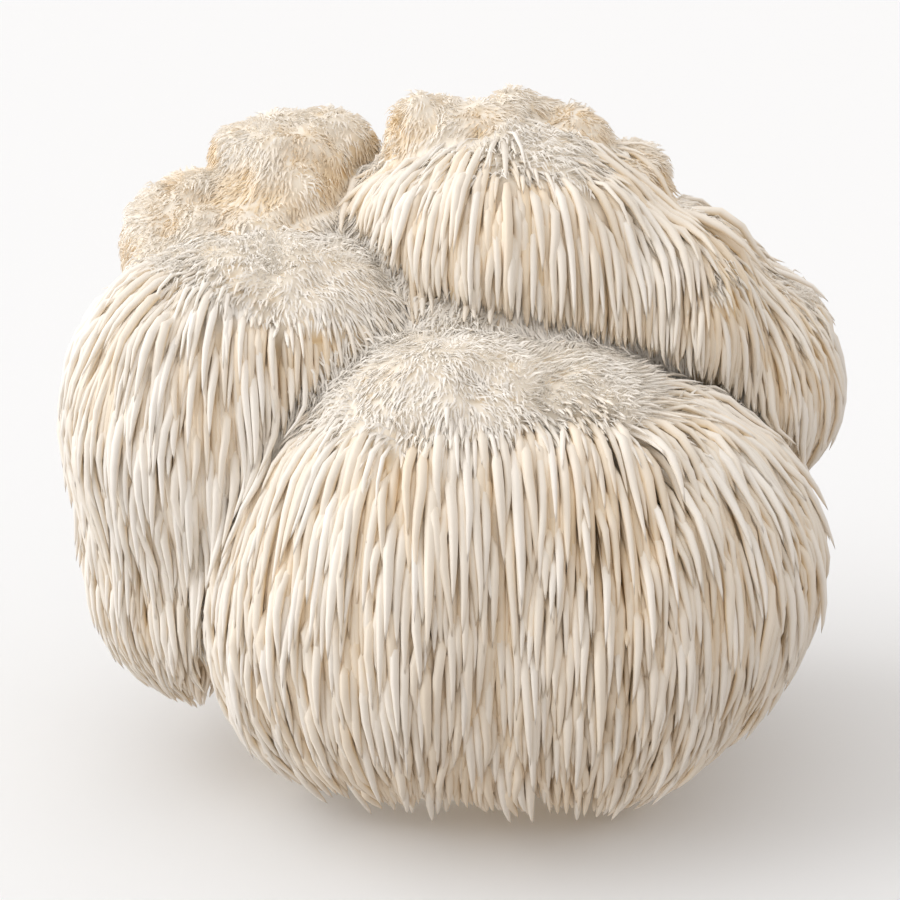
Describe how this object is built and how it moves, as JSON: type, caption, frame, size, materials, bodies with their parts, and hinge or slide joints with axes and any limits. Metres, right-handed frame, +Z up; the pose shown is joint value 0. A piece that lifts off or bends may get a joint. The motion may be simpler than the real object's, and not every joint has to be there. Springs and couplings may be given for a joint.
{
  "type": "lion's mane mushroom",
  "caption": "Fresh lion's mane mushroom: rounded lobes grown together, fuzzy on top, hung all round with spines, standing on a flat cut foot.",
  "frame": {"origin": "middle of the flat cut face of the foot, on which the mushroom stands", "axes": "+Z up, spines hang along -Z; -Y is the fullest side, shown in front; +X is to the right of someone facing that side, along the greatest width"},
  "size_m": [0.1813, 0.1525, 0.1552],
  "materials": {
    "mushroom_flesh": "soft waxy matt flesh, cream to white spines, tan between them and on top"
  },
  "bodies": {
    "root": {"fruiting_body": "mushroom_flesh"}
  },
  "joints": []
}
